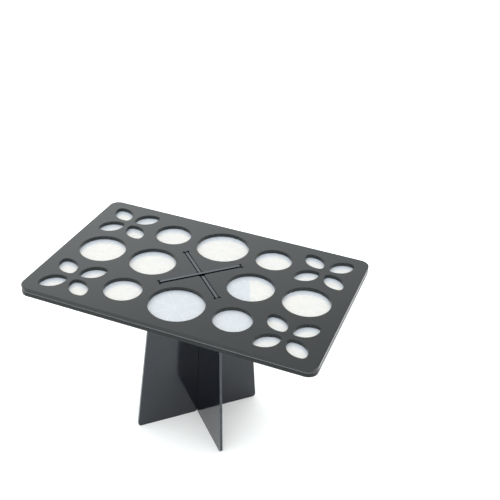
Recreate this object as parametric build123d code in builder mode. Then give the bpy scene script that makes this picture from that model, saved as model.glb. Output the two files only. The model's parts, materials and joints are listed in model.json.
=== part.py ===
from build123d import *
import os
from math import cos, radians, sin, sqrt

# A knock-down acrylic brush rack. A deck of two plates with a slit film between them
# stands on two legs that cross in half-height notches and plug into the deck's X slot.
# Origin: centre of the footprint, on the floor. +X runs along the deck's long side,
# +Y to its back and +Z up. Millimetres.

# ---- driving dimensions ----
PLATE = 2.9            # thickness of the deck's two acrylic plates, of nominal 3 mm sheet
FILM = 1.0             # thickness of the slit film between them
LEG = 2.0              # thickness of the two acrylic legs
DECK_TOP = 134.4       # floor to the deck's top face
DECK_X = 222.0
DECK_Y = 140.4
DECK_CORNER_R = 7.6
ARRIS_R = 0.25         # polished edge of a plate's outer face

ROW_Y = 41.4           # back and front rows of round holes, from the centre line
BIG_R = 20.4           # one hole in the middle of each row
SMALL_R = 14.1         # two beside it
SMALL_X = 42.2
MIDDLE_R = 17.7        # four holes along the centre line
INNER_X = 39.5
OUTER_X = 82.0

FLOWER_X = OUTER_X     # four groups of four leaf-shaped holes
FLOWER_Y = 42.5
LEAF_OUT = 14.9        # centre of a group to the centre of each leaf
LEAF_LENGTH = 21.6     # between the points where a leaf's two arcs would meet
LEAF_WIDTH = 13.9
LEAF_TIP_R = 3.2

LEG_FOOT = 102.4       # width of a leg on the floor
LEG_SHOULDER = 77.0    # width of a leg under the deck
LEG_CORNER_R = 2.5     # foot corners, and the mouth of each notch
TAB = 63.2             # width of the tab that fills the deck's slot
TAB_PROUD = 0.6        # the upper leg's tab stands this far above the deck; the lower leg's is flush
TAB_CORNER_R = 1.0
NOTCH_AIR = 0.2        # each side of a leg in the other leg's notch, and between the notch floors
SLOT_WIDTH = 3.3       # the deck's slots are wider than the legs, for an easy push fit
TAB_AIR = 0.5          # each end of a tab in its slot
RELIEF_R = 1.0         # round relief in each corner of the slots

SLIT = 0.2             # width of the film's cuts
SLIT_SHORT = 1.6       # each cut stops this far inside a round hole's edge
LEAF_SLIT = 16.0       # cut along a leaf
LEAF_CROSS_SLIT = 9.5  # cut across it
STAR_CUTS = 4          # full-width cuts across a round hole, so twice as many flaps

# ---- derived dimensions ----
DECK_BASE = DECK_TOP - 2 * PLATE - FILM
FILM_BASE = DECK_BASE + PLATE
TOP_BASE = FILM_BASE + FILM
UPPER_LEG_TOP = DECK_TOP + TAB_PROUD
SLOT_LENGTH = TAB + 2 * TAB_AIR
NOTCH_WIDTH = LEG + 2 * NOTCH_AIR
NOTCH_MEET = DECK_TOP / 2      # height at which the two notches meet
LOWER_TURN = -45.0     # the lower leg runs from back left to front right
UPPER_TURN = 45.0      # the upper leg runs from front left to back right

ROUND_HOLES = [(BIG_R, (0, side * ROW_Y)) for side in (-1, 1)]
ROUND_HOLES += [(SMALL_R, (x, y)) for x in (-SMALL_X, SMALL_X) for y in (-ROW_Y, ROW_Y)]
ROUND_HOLES += [(MIDDLE_R, (x, 0)) for x in (-OUTER_X, -INNER_X, INNER_X, OUTER_X)]

LEAF_STEP = LEAF_OUT / sqrt(2)
LEAVES = [
    Location((gx + dx * LEAF_STEP, gy + dy * LEAF_STEP), 45 * dx * dy)
    for gx in (-FLOWER_X, FLOWER_X)
    for gy in (-FLOWER_Y, FLOWER_Y)
    for dx in (-1, 1)
    for dy in (-1, 1)
]


# ---- shared outlines ----
# One leaf: two arcs that meet in rounded tips.
with BuildSketch() as leaf:
    with BuildLine():
        ThreePointArc((-LEAF_LENGTH / 2, 0), (0, LEAF_WIDTH / 2), (LEAF_LENGTH / 2, 0))
        ThreePointArc((LEAF_LENGTH / 2, 0), (0, -LEAF_WIDTH / 2), (-LEAF_LENGTH / 2, 0))
    make_face()
    fillet(leaf.vertices(), LEAF_TIP_R)

# The X slot for both tabs, with a round relief in every corner.
with BuildSketch() as slot_cross:
    for turn in (LOWER_TURN, UPPER_TURN):
        Rectangle(SLOT_LENGTH, SLOT_WIDTH, rotation=turn)
        with Locations(Location((0, 0), turn)):
            with GridLocations(SLOT_LENGTH, SLOT_WIDTH, 2, 2):
                Circle(RELIEF_R)
    with PolarLocations(SLOT_WIDTH / sqrt(2), 4):
        Circle(RELIEF_R)

# The deck's rounded rectangle with its X slot, shared by the plates and the film.
with BuildSketch() as deck_blank:
    RectangleRounded(DECK_X, DECK_Y, DECK_CORNER_R)
    add(slot_cross.sketch, mode=Mode.SUBTRACT)

# The same with all the brush holes, for the two plates.
with BuildSketch() as deck_pierced:
    add(deck_blank.sketch)
    for radius, centre in ROUND_HOLES:
        with Locations(centre):
            Circle(radius, mode=Mode.SUBTRACT)
    with Locations(LEAVES):
        add(leaf.sketch, mode=Mode.SUBTRACT)


def rim_edges(face):
    """A plate face's outer edge and the edges of its brush holes, without the X slot."""
    holes = [wire for wire in face.inner_wires() if wire.center().length > RELIEF_R]
    return ShapeList([edge for wire in [face.outer_wire(), *holes] for edge in wire.edges()])


def leg_plane(turn):
    """An upright plane through the origin: its x runs along the leg and its y is up."""
    along = (cos(radians(turn)), sin(radians(turn)), 0)
    across = (sin(radians(turn)), -cos(radians(turn)), 0)
    return Plane(origin=(0, 0, 0), x_dir=along, z_dir=across)


def leg_outline(leg_top, notch_end):
    """A leg's tapered outline with its tab. The notch runs in from y = notch_end, 0 or leg_top."""
    notch_depth = abs(notch_end - NOTCH_MEET) + NOTCH_AIR / 2
    with BuildSketch() as outline:
        with BuildLine():
            Polyline(
                (-LEG_FOOT / 2, 0),
                (LEG_FOOT / 2, 0),
                (LEG_SHOULDER / 2, DECK_BASE),
                (TAB / 2, DECK_BASE),
                (TAB / 2, leg_top),
                (-TAB / 2, leg_top),
                (-TAB / 2, DECK_BASE),
                (-LEG_SHOULDER / 2, DECK_BASE),
                close=True,
            )
        make_face()
        fillet(outline.vertices().group_by(Axis.Y)[0], LEG_CORNER_R)
        fillet(outline.vertices().group_by(Axis.Y)[-1], TAB_CORNER_R)
        with Locations((0, notch_end)):
            Rectangle(NOTCH_WIDTH, 2 * notch_depth, mode=Mode.SUBTRACT)
        ends = outline.vertices().filter_by(lambda corner: abs(corner.Y - notch_end) < NOTCH_AIR)
        fillet(ends.sort_by(lambda corner: abs(corner.X))[:2], LEG_CORNER_R)
    return outline.sketch


# ---- deck ----
with BuildPart() as bottom_plate:
    with BuildSketch(Plane.XY.offset(DECK_BASE)):
        add(deck_pierced.sketch)
    extrude(amount=PLATE)
    fillet(rim_edges(bottom_plate.faces().sort_by(Axis.Z)[0]), ARRIS_R)
bottom_plate.part.label = "bottom_plate"

# The film fills every hole of the plates and is cut into flaps that a brush handle parts.
with BuildPart() as slit_film:
    with BuildSketch(Plane.XY.offset(FILM_BASE)):
        add(deck_blank.sketch)
        for radius, centre in ROUND_HOLES:
            with Locations(centre):
                for k in range(STAR_CUTS):
                    Rectangle(
                        2 * (radius - SLIT_SHORT),
                        SLIT,
                        rotation=180 * k / STAR_CUTS,
                        mode=Mode.SUBTRACT,
                    )
        with Locations(LEAVES):
            Rectangle(LEAF_SLIT, SLIT, mode=Mode.SUBTRACT)
            Rectangle(SLIT, LEAF_CROSS_SLIT, mode=Mode.SUBTRACT)
    extrude(amount=FILM)
slit_film.part.label = "slit_film"

with BuildPart() as top_plate:
    with BuildSketch(Plane.XY.offset(TOP_BASE)):
        add(deck_pierced.sketch)
    extrude(amount=PLATE)
    fillet(rim_edges(top_plate.faces().sort_by(Axis.Z)[-1]), ARRIS_R)
top_plate.part.label = "top_plate"

# ---- legs ----
# The lower leg's notch opens upwards, through its tab.
with BuildPart() as lower_leg:
    with BuildSketch(leg_plane(LOWER_TURN)):
        add(leg_outline(DECK_TOP, DECK_TOP))
    extrude(amount=LEG / 2, both=True)
lower_leg.part.label = "lower_leg"

# The upper leg's notch opens downwards, so it drops over the lower leg.
with BuildPart() as upper_leg:
    with BuildSketch(leg_plane(UPPER_TURN)):
        add(leg_outline(UPPER_LEG_TOP, 0))
    extrude(amount=LEG / 2, both=True)
upper_leg.part.label = "upper_leg"

os.makedirs("parts", exist_ok=True)
for piece in (bottom_plate, slit_film, top_plate, lower_leg, upper_leg):
    export_step(piece.part, f"parts/{piece.part.label}.step")
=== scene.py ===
"""A knock-down brush rack: black acrylic deck and legs, with a milky film cut into flaps under every hole."""
import json
import math
import random

import bmesh
import bpy
from mathutils import Matrix, Vector


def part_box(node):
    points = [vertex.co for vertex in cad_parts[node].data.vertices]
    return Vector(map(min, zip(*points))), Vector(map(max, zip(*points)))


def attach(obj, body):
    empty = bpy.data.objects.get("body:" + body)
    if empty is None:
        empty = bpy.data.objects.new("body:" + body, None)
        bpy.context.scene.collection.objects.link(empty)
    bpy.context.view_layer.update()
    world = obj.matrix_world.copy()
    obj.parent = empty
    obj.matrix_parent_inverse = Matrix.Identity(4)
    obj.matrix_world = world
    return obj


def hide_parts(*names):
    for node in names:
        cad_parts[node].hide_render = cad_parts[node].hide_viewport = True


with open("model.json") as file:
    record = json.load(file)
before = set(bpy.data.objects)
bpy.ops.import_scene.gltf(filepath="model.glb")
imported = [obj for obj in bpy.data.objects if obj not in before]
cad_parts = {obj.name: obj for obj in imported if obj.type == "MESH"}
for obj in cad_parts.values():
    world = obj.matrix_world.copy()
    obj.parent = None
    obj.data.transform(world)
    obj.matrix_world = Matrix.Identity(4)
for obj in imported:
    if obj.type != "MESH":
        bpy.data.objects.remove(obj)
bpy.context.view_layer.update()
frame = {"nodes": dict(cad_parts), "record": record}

MM = 0.001

# ---- camera ----
AZIMUTH = math.radians(19.54)      # round the rack from the front, towards its right
ELEVATION = math.radians(31.98)
ROLL = math.radians(-3.34)
DISTANCE = 639.0 * MM
AIM_RIGHT = 20.6 * MM              # aim point on the deck's top face, from its centre
AIM_BACK = 46.6 * MM
LENS = 59.42
SENSOR = 36.0

# ---- studio: brightness of the room by direction, as parts of a unit vector from -1 to 1 ----
FLOOR_HALF = 4.0
FLOOR_SHADES = (0.86, 0.88)
FLOOR_SHADE_RANGE = (0.3, 0.7)     # noise values at those two shades
FLOOR_SHADE_SCALE = 3.0            # noise cells per metre
FLOOR_ROUGH = 0.9
FLOOR_GLOSS = 0.1
FLOOR_GLOW = 0.17                  # it glows a little, so that the shadow on it is faint
SKY_COLOUR = (0.965, 0.995, 1.0)
SKY_LEFT = 2.24                    # behind the deck, on its left
SKY_RIGHT = 1.48                   # behind it, from near its middle to the right
SKY_LEFT_ENDS = (-0.45, -0.1)      # x over which the left fades into the right
SKY_HIGH = 0.84                    # how much of that is left above the brightest band
SKY_HIGH_STARTS = (0.53, 0.61)     # z over which it drops to that
SKY_TOP = 2.55
SKY_TOP_STARTS = (0.66, 0.95)
SKY_FRONT = 2.18
SKY_FRONT_ENDS = (-0.5, 0.1)       # y over which the front fades into the back
SKY_LOW = 0.79                     # near the horizon, all round
SKY_LOW_ENDS = (0.24, 0.44)

# ---- acrylic ----
ACRYLIC_IOR = 1.49
EDGE_HAZE_AND_LIGHT = (0.78, 1.0, 1.13)           # colour on the cut edges: partly a faint haze, partly painted bluish light
RIM = 8 * MM                       # the deck's outer edge is polished, and its holes start further in
SMUDGE_SCALE = 45.0                # noise cells per metre
SMUDGE_RANGE = (0.35, 0.7)         # noise values that count as clean and as smudged
FACE_ROUGH = (0.075, 0.13)         # roughness where clean and where smudged
EDGE_COSINES = (0.5, 0.9)          # to its faces: all edge below the first, all face past the second
GRAIN_SCALE = 900.0
GRAIN_ROUGH = 0.02
EDGE_ROUGH = 0.16                  # added on the cut edges
WAVE_SCALE = 28.0
RIPPLE_WIDTH = 0.7 * MM
RIPPLE_LENGTH = 16 * MM
RIPPLE = 0.1                       # height of the edges' ripples, next to 1 for the faces' waves
RELIEF = 0.4 * MM                  # bump distance
RELIEF_STRENGTH = 0.06
DECK_TONE = (0.0029, 0.0035, 0.004)
LEG_TONE = (0.0005, 0.0012, 0.0045)
DIAGONAL = 0.7071                  # x or y of the direction that a leg's faces look in

# ---- film: looks ----
FILM_IOR = 1.41
FILM_COLOUR = (0.562, 0.611, 0.682)
CLAMPED_SHADE_COLOUR = (0.115, 0.12, 0.124)    # painted shade: the same milky film, darkened where it lies between the black plates and only its edge shows
FILM_CLEAR = 0.335                 # share of the light that goes straight through each face
CUT_CLEAR = 0.95                   # the same for the walls of a closed cut, which touch each other
PASSED = (0.95, 0.785, 0.475)      # its haze scatters blue, so the light that passes a face is warm
WHITE = (1, 1, 1)
CLOUD_SCALE = 130.0
CLOUD_SHADE = 0.93                 # how much of its colour is left where the clouding is darkest
CLOUD_RANGE = (0.3, 0.75)          # noise values at the darkest and the lightest clouding
SHEEN_RANGE = (0.3, 0.7)           # the same noise's values at the two ends of its roughness
FILM_ROUGH = (0.32, 0.46)
PEEL_SCALE = 1500.0                # the fine orange peel on its faces
PEEL_STRENGTH = 0.25
PEEL_HEIGHT = 0.1 * MM
WHITENED = (0.97, 0.97, 0.9)       # colour that bent and cut silicone turns towards
WHITENING = 0.14                   # how far it turns right at a cut
WHITENING_FALL = 2.5               # power by which that falls off beside the cut
WHITENED_CLEAR = 0.88              # how much of its clearness it keeps at a cut

# ---- film: shape ----
RADII = {"big": 20.4 * MM, "small": 14.1 * MM, "middle": 17.7 * MM}
DECK_CORNER_R = 7.6 * MM
LEAF_HALF_CHORD = 10.8 * MM        # half the length between the points where its arcs would meet
LEAF_HALF_WIDTH = 6.95 * MM
LEAF_TIP_R = 3.2 * MM
SLOT_HALF = 32.1 * MM              # half the length of each of the deck's two crossed slots
SLOT_WIDTH = 3.3 * MM
ROUND_MARGIN = 1.6 * MM            # uncut film between the ends of the cuts and the hole's edge
LEAF_MARGIN = 2.3 * MM
ROUND_CUTS = 8                     # cuts from the middle of a round hole, so as many flaps
LEAF_CUTS = 4
CUT_GAP = 0.03 * MM                # between two flaps, for meshes that don't touch
CURL = (-0.09 * MM, 0.06 * MM)     # how far a flap's tip stands from the sheet
TWIST = 0.04 * MM
RINGS = 8                          # mesh rings from the middle of a hole to the ends of its cuts
STEPS = 8                          # mesh steps across one flap
TIP_WHITE = 0.6                    # whitening across a flap near its tip, where its cut edges are 1
EDGE_INSET = 0.3 * MM              # the film stops this far inside the plates' edges
MERGE = 0.004 * MM                 # vertices nearer than this are one
SHARP = math.radians(40)
SEED = 7
CLAMPED = 1                        # material slot of the film between the plates, after that of its flaps
WALLS = 2                          # from a face's material slot to its walls' slot


# ---------- node helpers ----------
def new_material(name):
    """An empty node material with its output and one Principled shader."""
    material = bpy.data.materials.new(name)
    material.use_nodes = True
    tree = material.node_tree
    tree.nodes.clear()
    output = tree.nodes.new("ShaderNodeOutputMaterial")
    shader = tree.nodes.new("ShaderNodeBsdfPrincipled")
    tree.links.new(shader.outputs["BSDF"], output.inputs["Surface"])
    return material, tree, shader


def math_node(tree, operation, first, second=None):
    """A Math node whose two inputs are sockets or numbers."""
    node = tree.nodes.new("ShaderNodeMath")
    node.operation = operation
    for socket, value in zip(node.inputs, (first, second)):
        if value is None:
            continue
        if isinstance(value, (int, float)):
            socket.default_value = value
        else:
            tree.links.new(value, socket)
    return node.outputs[0]


def noise(tree, vector, scale, detail=3.0, roughness=0.5):
    """A Noise texture's value on some coordinates in metres."""
    node = tree.nodes.new("ShaderNodeTexNoise")
    node.inputs["Scale"].default_value = scale
    node.inputs["Detail"].default_value = detail
    node.inputs["Roughness"].default_value = roughness
    tree.links.new(vector, node.inputs["Vector"])
    return node.outputs["Fac"]


def remap(tree, value, low, high, to_low, to_high):
    """A value between low and high carried over to a new range, and clamped."""
    node = tree.nodes.new("ShaderNodeMapRange")
    node.inputs["From Min"].default_value = low
    node.inputs["From Max"].default_value = high
    node.inputs["To Min"].default_value = to_low
    node.inputs["To Max"].default_value = to_high
    tree.links.new(value, node.inputs["Value"])
    return node.outputs["Result"]


def streaks(tree, vector, face, across, along):
    """A Noise texture's value, drawn out along one direction: its grain's size across and along that."""
    node = tree.nodes.new("ShaderNodeMapping")
    node.vector_type = "TEXTURE"
    node.inputs["Rotation"].default_value = Vector((0, 0, 1)).rotation_difference(face).to_euler()
    node.inputs["Scale"].default_value = (across, across, along)
    tree.links.new(vector, node.inputs["Vector"])
    return noise(tree, node.outputs["Vector"], 1.0, 2.0)


def bump(tree, shader, height, strength, distance):
    """Drives the shader's normal from a height."""
    node = tree.nodes.new("ShaderNodeBump")
    node.inputs["Strength"].default_value = strength
    node.inputs["Distance"].default_value = distance
    tree.links.new(height, node.inputs["Height"])
    tree.links.new(node.outputs["Normal"], shader.inputs["Normal"])


# ---------- materials ----------
def black_acrylic(name, face, tone, tint, gloss, haze_and_light, rim=None):
    """Polished cast acrylic. face is the direction that the sheet's two faces look in.

    tone is its colour, and tint and gloss are its reflection's. The cut edges are made lighter and bluish:
    partly a faint haze, partly painted light. Past rim, the half sizes in x and y, they are flame polished
    and get neither.
    """
    material, tree, shader = new_material(name)
    place = tree.nodes.new("ShaderNodeTexCoord")
    shader.inputs["IOR"].default_value = ACRYLIC_IOR
    shader.inputs["Specular IOR Level"].default_value = gloss
    shader.inputs["Specular Tint"].default_value = (*tint, 1)

    # 1 on the sheet's cut edges, 0 on its faces
    facing = tree.nodes.new("ShaderNodeVectorMath")
    facing.operation = "DOT_PRODUCT"
    facing.inputs[1].default_value = face
    tree.links.new(place.outputs["Normal"], facing.inputs[0])
    edge = remap(tree, math_node(tree, "ABSOLUTE", facing.outputs["Value"]), *EDGE_COSINES, 1.0, 0.0)

    # the cut edges get a lighter, bluish colour: partly the faint grey haze the laser leaves, partly painted
    # light; the flame-polished outer rim gets neither
    haze_and_light_mask = edge
    if rim:
        split = tree.nodes.new("ShaderNodeSeparateXYZ")
        tree.links.new(place.outputs["Object"], split.inputs["Vector"])
        for axis, limit in zip("XY", rim):
            inside = math_node(tree, "LESS_THAN", math_node(tree, "ABSOLUTE", split.outputs[axis]), limit)
            haze_and_light_mask = math_node(tree, "MULTIPLY", haze_and_light_mask, inside)
    ramp = tree.nodes.new("ShaderNodeValToRGB")
    ramp.color_ramp.elements[0].color = (*tone, 1)
    ramp.color_ramp.elements[1].color = (*[t + haze_and_light * h for t, h in zip(tone, EDGE_HAZE_AND_LIGHT)], 1)
    tree.links.new(haze_and_light_mask, ramp.inputs["Fac"])
    tree.links.new(ramp.outputs["Color"], shader.inputs["Base Color"])

    smudge = noise(tree, place.outputs["Object"], SMUDGE_SCALE, 4.0, 0.6)
    grain = noise(tree, place.outputs["Object"], GRAIN_SCALE, 2.0)
    face_rough = remap(tree, smudge, *SMUDGE_RANGE, *FACE_ROUGH)
    face_rough = math_node(tree, "ADD", face_rough, math_node(tree, "MULTIPLY", grain, GRAIN_ROUGH))
    edge_rough = math_node(tree, "MULTIPLY", edge, EDGE_ROUGH)
    tree.links.new(math_node(tree, "ADD", face_rough, edge_rough), shader.inputs["Roughness"])

    # a cast sheet's slow waves on the faces, the laser's fine ripples through the sheet on its edges
    waves = noise(tree, place.outputs["Object"], WAVE_SCALE, 1.0)
    ripple = streaks(tree, place.outputs["Object"], Vector(face), RIPPLE_WIDTH, RIPPLE_LENGTH)
    ripple = math_node(tree, "MULTIPLY", math_node(tree, "MULTIPLY", ripple, edge), RIPPLE)
    bump(tree, shader, math_node(tree, "ADD", waves, ripple), RELIEF_STRENGTH, RELIEF)
    return material


def milky_film(name, colour, clear, passed=PASSED):
    """Translucent silicone: a soft sheen, faint clouding, a fine orange peel and whitening along its cuts.

    clear is how much light goes straight through each face, and passed is that light's colour.
    """
    material, tree, shader = new_material(name)
    place = tree.nodes.new("ShaderNodeTexCoord")
    cloud = noise(tree, place.outputs["Object"], CLOUD_SCALE, 3.0, 0.55)
    ramp = tree.nodes.new("ShaderNodeValToRGB")
    ramp.color_ramp.elements[0].position = CLOUD_RANGE[0]
    ramp.color_ramp.elements[0].color = (*[c * CLOUD_SHADE for c in colour], 1)
    ramp.color_ramp.elements[1].position = CLOUD_RANGE[1]
    ramp.color_ramp.elements[1].color = (*colour, 1)
    tree.links.new(cloud, ramp.inputs["Fac"])
    cut = tree.nodes.new("ShaderNodeAttribute")
    cut.attribute_name = "whitened"
    white = math_node(tree, "POWER", cut.outputs["Fac"], WHITENING_FALL)
    white = remap(tree, white, 0.0, 1.0, 0.0, WHITENING)
    blend = tree.nodes.new("ShaderNodeMix")
    blend.data_type = "RGBA"
    tree.links.new(white, blend.inputs["Factor"])
    tree.links.new(ramp.outputs["Color"], blend.inputs["A"])
    blend.inputs["B"].default_value = (*WHITENED, 1)
    tree.links.new(blend.outputs["Result"], shader.inputs["Base Color"])
    shader.inputs["IOR"].default_value = FILM_IOR
    tree.links.new(remap(tree, cloud, *SHEEN_RANGE, *FILM_ROUGH), shader.inputs["Roughness"])
    peel = noise(tree, place.outputs["Object"], PEEL_SCALE, 2.0)
    bump(tree, shader, peel, PEEL_STRENGTH, PEEL_HEIGHT)
    if clear:
        through = tree.nodes.new("ShaderNodeBsdfTransparent")
        through.inputs["Color"].default_value = (*passed, 1)
        both = tree.nodes.new("ShaderNodeMixShader")
        share = remap(tree, white, 0.0, WHITENING, clear, WHITENED_CLEAR * clear)
        tree.links.new(share, both.inputs["Fac"])
        tree.links.new(shader.outputs["BSDF"], both.inputs[1])
        tree.links.new(through.outputs["BSDF"], both.inputs[2])
        tree.links.new(both.outputs["Shader"], tree.nodes["Material Output"].inputs["Surface"])
    return material


def studio_white():
    """The plain pale floor."""
    material, tree, shader = new_material("studio_white")
    place = tree.nodes.new("ShaderNodeTexCoord")
    grain = noise(tree, place.outputs["Object"], FLOOR_SHADE_SCALE, 2.0)
    shade = remap(tree, grain, *FLOOR_SHADE_RANGE, *FLOOR_SHADES)
    tint = tree.nodes.new("ShaderNodeCombineColor")
    for channel in tint.inputs[:3]:
        tree.links.new(shade, channel)
    tree.links.new(tint.outputs["Color"], shader.inputs["Base Color"])
    shader.inputs["Roughness"].default_value = FLOOR_ROUGH
    shader.inputs["Specular IOR Level"].default_value = FLOOR_GLOSS
    shader.inputs["Emission Color"].default_value = (1, 1, 1, 1)
    shader.inputs["Emission Strength"].default_value = FLOOR_GLOW
    return material


# ---------- film ----------
def far_crossing(angle, centre_x, centre_y, radius):
    """How far a ray from the origin at this angle runs to the far side of a circle."""
    x, y = math.cos(angle), math.sin(angle)
    along = x * centre_x + y * centre_y
    return along + math.sqrt(along * along + radius * radius - centre_x ** 2 - centre_y ** 2)


def leaf_rim(angle):
    """Distance from a leaf's centre to its edge: two long arcs with round tips."""
    arc = (LEAF_HALF_CHORD ** 2 + LEAF_HALF_WIDTH ** 2) / (2 * LEAF_HALF_WIDTH)
    arc_y = -(arc - LEAF_HALF_WIDTH)
    tip_x = math.sqrt((arc - LEAF_TIP_R) ** 2 - arc_y ** 2)
    meets_x = tip_x * arc / (arc - LEAF_TIP_R)
    meets_y = arc_y - arc_y * arc / (arc - LEAF_TIP_R)
    folded = math.atan2(abs(math.sin(angle)), abs(math.cos(angle)))
    if folded > math.atan2(meets_y, meets_x):
        return far_crossing(folded, 0, arc_y, arc)
    return far_crossing(folded, tip_x, 0, LEAF_TIP_R)


class Hole:
    """One hole of the deck: its place, the way it is turned, its rim and its cuts."""

    def __init__(self, opening):
        low, high = (Vector(corner) for corner in opening["box_m"])
        self.centre = (low + high) / 2
        family = opening["name"].split("_")[0]
        self.leaf = family == "leaf"
        self.turn = 0.0
        if self.leaf:
            inner = opening["name"].split("_")[4] == "inner"
            far = opening["name"].endswith("far")
            right = "right" in opening["name"]
            self.turn = math.radians(45 if (inner != right) == far else -45)
        self.radius = RADII.get(family)
        self.cuts = LEAF_CUTS if self.leaf else ROUND_CUTS
        self.margin = LEAF_MARGIN if self.leaf else ROUND_MARGIN

    def rim(self, angle):
        return leaf_rim(angle) if self.leaf else self.radius

    def point(self, radius, angle, height=0.0):
        """A point of the film at this distance and angle from the hole's centre."""
        return (
            self.centre.x + radius * math.cos(angle + self.turn),
            self.centre.y + radius * math.sin(angle + self.turn),
            height,
        )

    def outline(self):
        count = self.cuts * STEPS
        angles = [2 * math.pi * k / count for k in range(count)]
        return [self.point(self.rim(angle), angle) for angle in angles]


def add_flaps(mesh, hole, rng):
    """The film inside one hole: a narrow whole ring, and inside it the flaps, each with its own curl."""
    whitened = mesh.verts.layers.float["whitened"]
    for k in range(hole.cuts):
        curl = rng.uniform(*CURL)
        twist = rng.uniform(-TWIST, TWIST)
        rows = []
        for i in range(RINGS + 2):
            row = []
            for j in range(STEPS + 1):
                angle = 2 * math.pi * (k + j / STEPS) / hole.cuts
                hinge = hole.rim(angle) - hole.margin
                if i > RINGS:
                    row.append(mesh.verts.new(hole.point(hole.rim(angle), angle)))
                    continue
                radius = hinge * i / RINGS
                free = 1 - i / RINGS                    # 0 at the ends of the cuts, 1 at the middle
                across = 2 * j / STEPS - 1
                height = free * free * curl + free * (1 - free) * 2 * twist * across
                middle = math.pi * (2 * k + 1) / hole.cuts
                gap = CUT_GAP * min(1.0, 3 * free)
                x, y, z = hole.point(radius, angle, height)
                if i == 0:
                    x += math.cos(middle + hole.turn) * gap
                    y += math.sin(middle + hole.turn) * gap
                elif abs(across) == 1 and free > 0:
                    side = math.pi / 2 if across < 0 else -math.pi / 2
                    x += math.cos(angle + hole.turn + side) * gap / 2
                    y += math.sin(angle + hole.turn + side) * gap / 2
                vertex = mesh.verts.new((x, y, z))
                if abs(across) == 1 and i < RINGS:
                    vertex[whitened] = 1.0
                elif i == 1:
                    vertex[whitened] = TIP_WHITE
                row.append(vertex)
            rows.append(row)
        for i in range(RINGS + 1):
            for j in range(STEPS):
                corners = [rows[i][j], rows[i][j + 1], rows[i + 1][j + 1], rows[i + 1][j]]
                face = mesh.faces.new(reversed(corners))
                face.smooth = True


def deck_outline(half_x, half_y, radius, steps=10):
    """A rounded rectangle, anticlockwise."""
    points = []
    for quarter in range(4):
        sign_x = 1 if quarter in (0, 3) else -1
        sign_y = 1 if quarter in (0, 1) else -1
        for k in range(steps + 1):
            angle = math.pi / 2 * (quarter + k / steps)
            x = sign_x * (half_x - radius) + radius * math.cos(angle)
            y = sign_y * (half_y - radius) + radius * math.sin(angle)
            points.append((x, y, 0))
    return points


def slot_outline():
    """The X slot: four arms, anticlockwise from the one at back right."""
    half = SLOT_WIDTH / 2
    points = []
    for k in range(4):
        turn = math.pi / 4 + k * math.pi / 2
        for along, across in ((SLOT_HALF, -half), (SLOT_HALF, half), (half, half)):
            x = along * math.cos(turn) - across * math.sin(turn)
            y = along * math.sin(turn) + across * math.cos(turn)
            points.append((x, y, 0))
    return points


def flat_sheet(outlines):
    """A mesh of the first outline with the others cut out of it."""
    curve = bpy.data.curves.new("sheet_outline", "CURVE")
    curve.dimensions = "2D"
    curve.fill_mode = "BOTH"
    for outline in outlines:
        spline = curve.splines.new("POLY")
        spline.points.add(len(outline) - 1)
        for point, place in zip(spline.points, outline):
            point.co = (*place, 1)
        spline.use_cyclic_u = True
    holder = bpy.data.objects.new("sheet_outline", curve)
    mesh = bpy.data.meshes.new_from_object(holder)
    bpy.data.objects.remove(holder)
    bpy.data.curves.remove(curve)
    return mesh


def paint_film(film):
    """Fills its four material slots: the two for its faces, and in the same order the two for its walls."""
    # the film between the plates is a darker copy of the milky film: painted shade
    clamped = milky_film("clamped_film_painted_shade", CLAMPED_SHADE_COLOUR, 0.0)
    film.data.materials.append(milky_film("milky_film", FILM_COLOUR, FILM_CLEAR))
    film.data.materials.append(clamped)
    film.data.materials.append(milky_film("closed_cut", FILM_COLOUR, CUT_CLEAR, WHITE))
    film.data.materials.append(clamped)


def make_film():
    """The one sheet of film between the plates, with its flaps."""
    low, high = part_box("slit_film")
    openings = frame["record"]["physics"]["openings"]
    holes = [Hole(opening) for opening in openings]
    outlines = [deck_outline(high.x - EDGE_INSET, high.y - EDGE_INSET, DECK_CORNER_R - EDGE_INSET)]
    outlines.append(slot_outline())
    outlines += [hole.outline() for hole in holes]
    clamped = flat_sheet(outlines)

    mesh = bmesh.new()
    mesh.from_mesh(clamped)
    mesh.verts.layers.float.new("whitened")
    bpy.data.meshes.remove(clamped)
    for face in mesh.faces:
        face.material_index = CLAMPED
        if face.normal.z < 0:
            face.normal_flip()
    rng = random.Random(SEED)
    for hole in holes:
        add_flaps(mesh, hole, rng)
    bmesh.ops.remove_doubles(mesh, verts=mesh.verts[:], dist=MERGE)
    for vertex in mesh.verts:
        vertex.co.z += (low.z + high.z) / 2
    data = bpy.data.meshes.new("slit_film_sheet")
    mesh.to_mesh(data)
    mesh.free()
    film = bpy.data.objects.new("slit_film_sheet", data)
    bpy.context.scene.collection.objects.link(film)
    paint_film(film)
    thick = film.modifiers.new("thickness", "SOLIDIFY")
    thick.thickness = high.z - low.z
    thick.offset = 0
    thick.material_offset_rim = WALLS
    bake = film.evaluated_get(bpy.context.evaluated_depsgraph_get())
    solid = bpy.data.meshes.new_from_object(bake)
    film.modifiers.clear()
    film.data = solid
    solid.set_sharp_from_angle(angle=SHARP)
    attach(film, "deck")
    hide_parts("slit_film")


# ---------- studio ----------
def make_floor():
    mesh = bpy.data.meshes.new("floor")
    corners = [(-1, -1), (1, -1), (1, 1), (-1, 1)]
    mesh.from_pydata([(x * FLOOR_HALF, y * FLOOR_HALF, 0) for x, y in corners], [], [(0, 1, 2, 3)])
    floor = bpy.data.objects.new("floor", mesh)
    floor.data.materials.append(studio_white())
    bpy.context.scene.collection.objects.link(floor)


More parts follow.
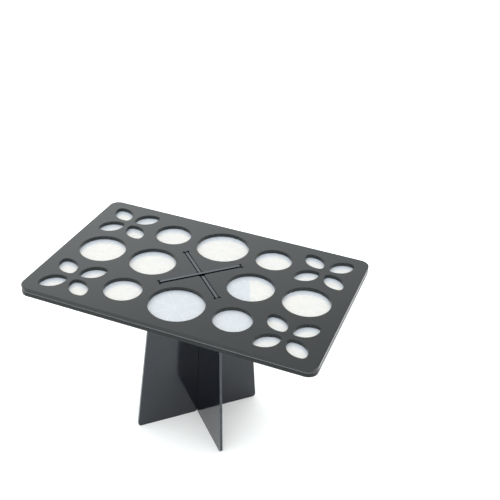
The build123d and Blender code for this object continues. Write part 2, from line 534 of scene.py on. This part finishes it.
def make_room():
    """A soft white room, brighter on the left and overhead."""
    world = bpy.data.worlds.new("studio")
    world.use_nodes = True
    bpy.context.scene.world = world
    tree = world.node_tree
    place = tree.nodes.new("ShaderNodeTexCoord")
    split = tree.nodes.new("ShaderNodeSeparateXYZ")
    tree.links.new(place.outputs["Generated"], split.inputs["Vector"])
    side = remap(tree, split.outputs["X"], *SKY_LEFT_ENDS, SKY_LEFT, SKY_RIGHT)
    band = remap(tree, split.outputs["Z"], *SKY_HIGH_STARTS, 1.0, SKY_HIGH)
    side = math_node(tree, "MULTIPLY", side, band)
    top = remap(tree, split.outputs["Z"], *SKY_TOP_STARTS, 0.0, 1.0)
    mix = tree.nodes.new("ShaderNodeMix")
    tree.links.new(top, mix.inputs["Factor"])
    tree.links.new(side, mix.inputs["A"])
    mix.inputs["B"].default_value = SKY_TOP
    front = remap(tree, split.outputs["Y"], *SKY_FRONT_ENDS, 1.0, 0.0)
    ahead = tree.nodes.new("ShaderNodeMix")
    tree.links.new(front, ahead.inputs["Factor"])
    tree.links.new(mix.outputs["Result"], ahead.inputs["A"])
    ahead.inputs["B"].default_value = SKY_FRONT
    above = remap(tree, split.outputs["Z"], *SKY_LOW_ENDS, 0.0, 1.0)
    horizon = tree.nodes.new("ShaderNodeMix")
    tree.links.new(above, horizon.inputs["Factor"])
    horizon.inputs["A"].default_value = SKY_LOW
    tree.links.new(ahead.outputs["Result"], horizon.inputs["B"])
    background = tree.nodes["Background"]
    background.inputs["Color"].default_value = (*SKY_COLOUR, 1)
    tree.links.new(horizon.outputs["Result"], background.inputs["Strength"])


def make_camera():
    deck_low, deck_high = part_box("top_plate")
    middle = (deck_low + deck_high) / 2
    aim = Vector((middle.x + AIM_RIGHT, middle.y + AIM_BACK, deck_high.z))
    level = math.cos(ELEVATION)
    back = Vector((math.sin(AZIMUTH) * level, -math.cos(AZIMUTH) * level, math.sin(ELEVATION)))
    right = Vector((math.cos(AZIMUTH), math.sin(AZIMUTH), 0))
    up = back.cross(right)
    turned_right = right * math.cos(ROLL) - up * math.sin(ROLL)
    turned_up = right * math.sin(ROLL) + up * math.cos(ROLL)
    data = bpy.data.cameras.new("camera")
    data.lens = LENS
    data.sensor_width = SENSOR
    camera = bpy.data.objects.new("camera", data)
    turn = Matrix((turned_right, turned_up, back)).transposed()
    camera.matrix_world = Matrix.Translation(aim + back * DISTANCE) @ turn.to_4x4()
    bpy.context.scene.collection.objects.link(camera)
    bpy.context.scene.camera = camera


def paint_acrylic():
    """Gives each acrylic node its own material, with the settings in black_acrylic's order."""
    up = (0, 0, 1)
    steep = (DIAGONAL, DIAGONAL, 0)
    shallow = (DIAGONAL, -DIAGONAL, 0)
    rim = [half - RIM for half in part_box("top_plate")[1].xy]
    # one acrylic in four copies, with painted light in them: the bluish reflection tints stand in for bluish
    # room light, bluest on the upper leg, and the glosses and edge colours differ so that some parts look
    # lighter or darker, the bottom plate darker than the top
    finish_and_painted_light = {
        "top_plate": (up, DECK_TONE, (0.97, 1, 1), 0.41, 0.0135, rim),
        "bottom_plate": (up, DECK_TONE, (0.95, 1, 1), 0.28, 0.0133, rim),
        "lower_leg": (steep, LEG_TONE, (0.93, 0.96, 1), 0.61, 0.0227),
        "upper_leg": (shallow, LEG_TONE, (0.91, 0.955, 1), 0.67, 0.0193),
    }
    for node, settings in finish_and_painted_light.items():
        piece = frame["nodes"][node]
        piece.data.materials.clear()
        piece.data.materials.append(black_acrylic(f"{node}_acrylic", *settings))


make_camera()
make_room()
make_floor()
paint_acrylic()
make_film()
bpy.context.scene.view_settings.view_transform = "Standard"
